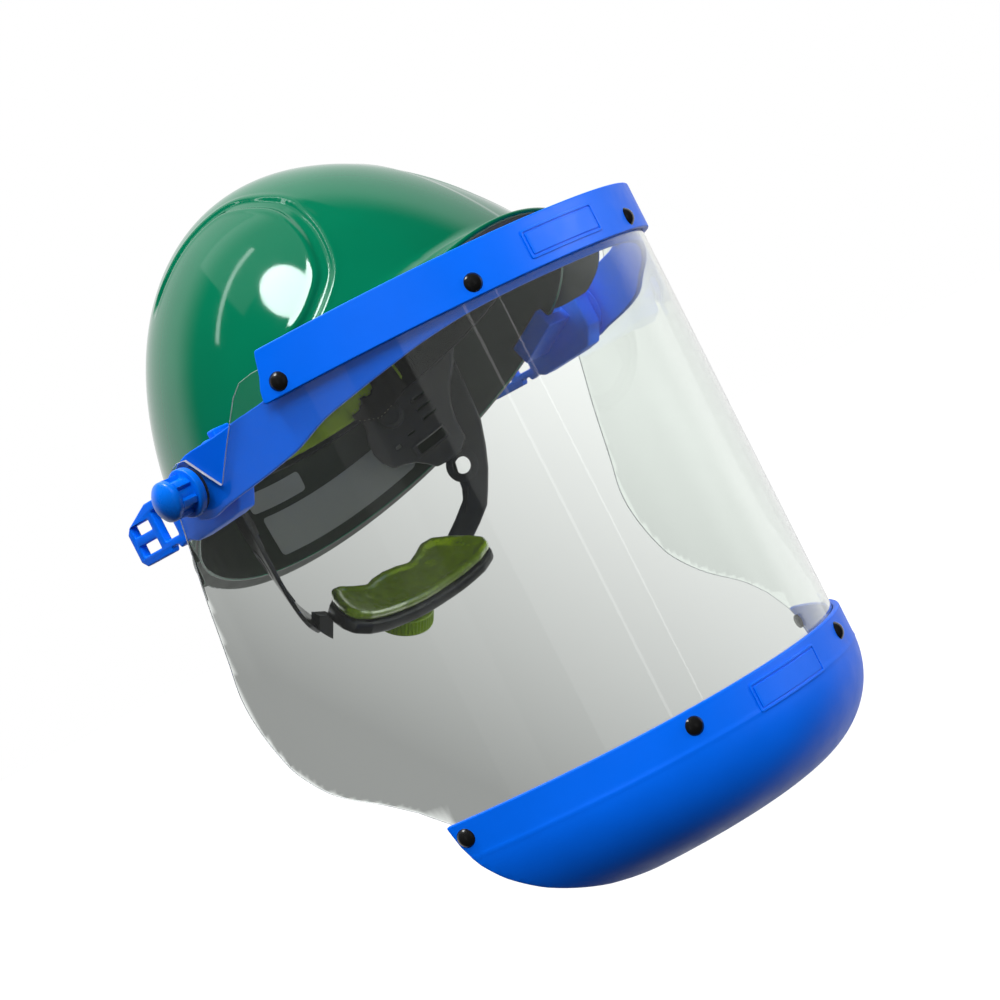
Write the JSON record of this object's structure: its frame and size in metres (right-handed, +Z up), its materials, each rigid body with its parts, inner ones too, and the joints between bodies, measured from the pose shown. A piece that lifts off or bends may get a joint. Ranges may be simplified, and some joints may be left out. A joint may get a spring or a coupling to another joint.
{
  "type": "helmet-mounted face shield",
  "caption": "Clear wraparound face shield with blue browguard and chin guard, hinged by side knobs on a safety helmet with an adjustable headband.",
  "frame": {"origin": "halfway between the two visor pivots, on their common axis", "axes": "+Z up along the lowered visor, -Y towards the front, +X towards the wearer's left"},
  "size_m": [0.2872, 0.2561, 0.3309],
  "materials": {
    "shell": "glossy moulded ABS, green",
    "webbing": "woven polyester webbing",
    "grey_plastic": "satin moulded plastic",
    "dark_plastic": "satin moulded plastic, dark grey",
    "textile": "stitched comfort textile",
    "lime_textile": "lime textile pad",
    "lime_gel": "soft translucent lime elastomer",
    "lime_plastic": "lime moulded plastic",
    "label": "plain paper sticker",
    "blue_plastic": "satin injection-moulded nylon, blue",
    "knob_blue": "glossy moulded plastic, blue",
    "steel": "zinc-plated steel",
    "clear_sheet": "clear polycarbonate with a pale grey-green tint",
    "black_rivet": "black plastic drive rivet",
    "washer": "friction washer",
    "brass": "threaded brass insert"
  },
  "bodies": {
    "helmet": {"helmet_shell": "shell", "crown_strap_left": "webbing", "crown_strap_right": "webbing", "suspension_clips": "grey_plastic", "headband": "dark_plastic", "brow_pad": "textile", "rear_pad": "lime_textile", "side_plate_left": "dark_plastic", "side_plate_right": "dark_plastic", "label_large": "label", "label_small": "label", "adapter_left": "blue_plastic", "adapter_right": "blue_plastic", "strap_buckle_left": "blue_plastic", "strap_buckle_right": "blue_plastic", "pivot_stud_left": "steel", "pivot_stud_right": "steel"},
    "shield": {"browguard": "blue_plastic", "carrier_frame": "blue_plastic", "visor": "clear_sheet", "chin_guard": "blue_plastic", "top_rivets": "black_rivet", "bottom_rivets": "black_rivet", "friction_washer_left": "washer", "friction_washer_right": "washer"},
    "knob_left": {"knob_left": "knob_blue", "knob_insert_left": "brass"},
    "knob_right": {"knob_right": "knob_blue", "knob_insert_right": "brass"},
    "nape": {"nape_arm_left": "dark_plastic", "nape_arm_right": "dark_plastic", "nape_housing": "dark_plastic", "nape_pad": "lime_gel"},
    "ratchet": {"ratchet_knob": "lime_plastic", "ratchet_pinion": "grey_plastic"}
  },
  "joints": [
    {"name": "visor_tilt", "type": "hinge", "parent": "helmet", "child": "shield", "pos_m": [0, 0, 0], "axis": [-1, 0, 0], "range_deg": [0, 85]},
    {"name": "knob_left_turn", "type": "hinge", "parent": "helmet", "child": "knob_left", "pos_m": [0.13, 0, 0], "axis": [1, 0, 0], "range_deg": [0, 360]},
    {"name": "knob_right_turn", "type": "hinge", "parent": "helmet", "child": "knob_right", "pos_m": [-0.13, 0, 0], "axis": [-1, 0, 0], "range_deg": [0, 360]},
    {"name": "nape_slide", "type": "slide", "parent": "helmet", "child": "nape", "axis": [0, 0.9259, -0.3778], "range_m": [0, 0.02]},
    {"name": "ratchet_turn", "type": "hinge", "parent": "nape", "child": "ratchet", "pos_m": [0, 0.06693, -0.08156], "axis": [0, 0.6401, -0.7683], "range_deg": [0, 165]}
  ],
  "couplings": [
    {"joint": "ratchet_turn", "follows": "nape_slide", "rad_per_m": 142.86}
  ]
}
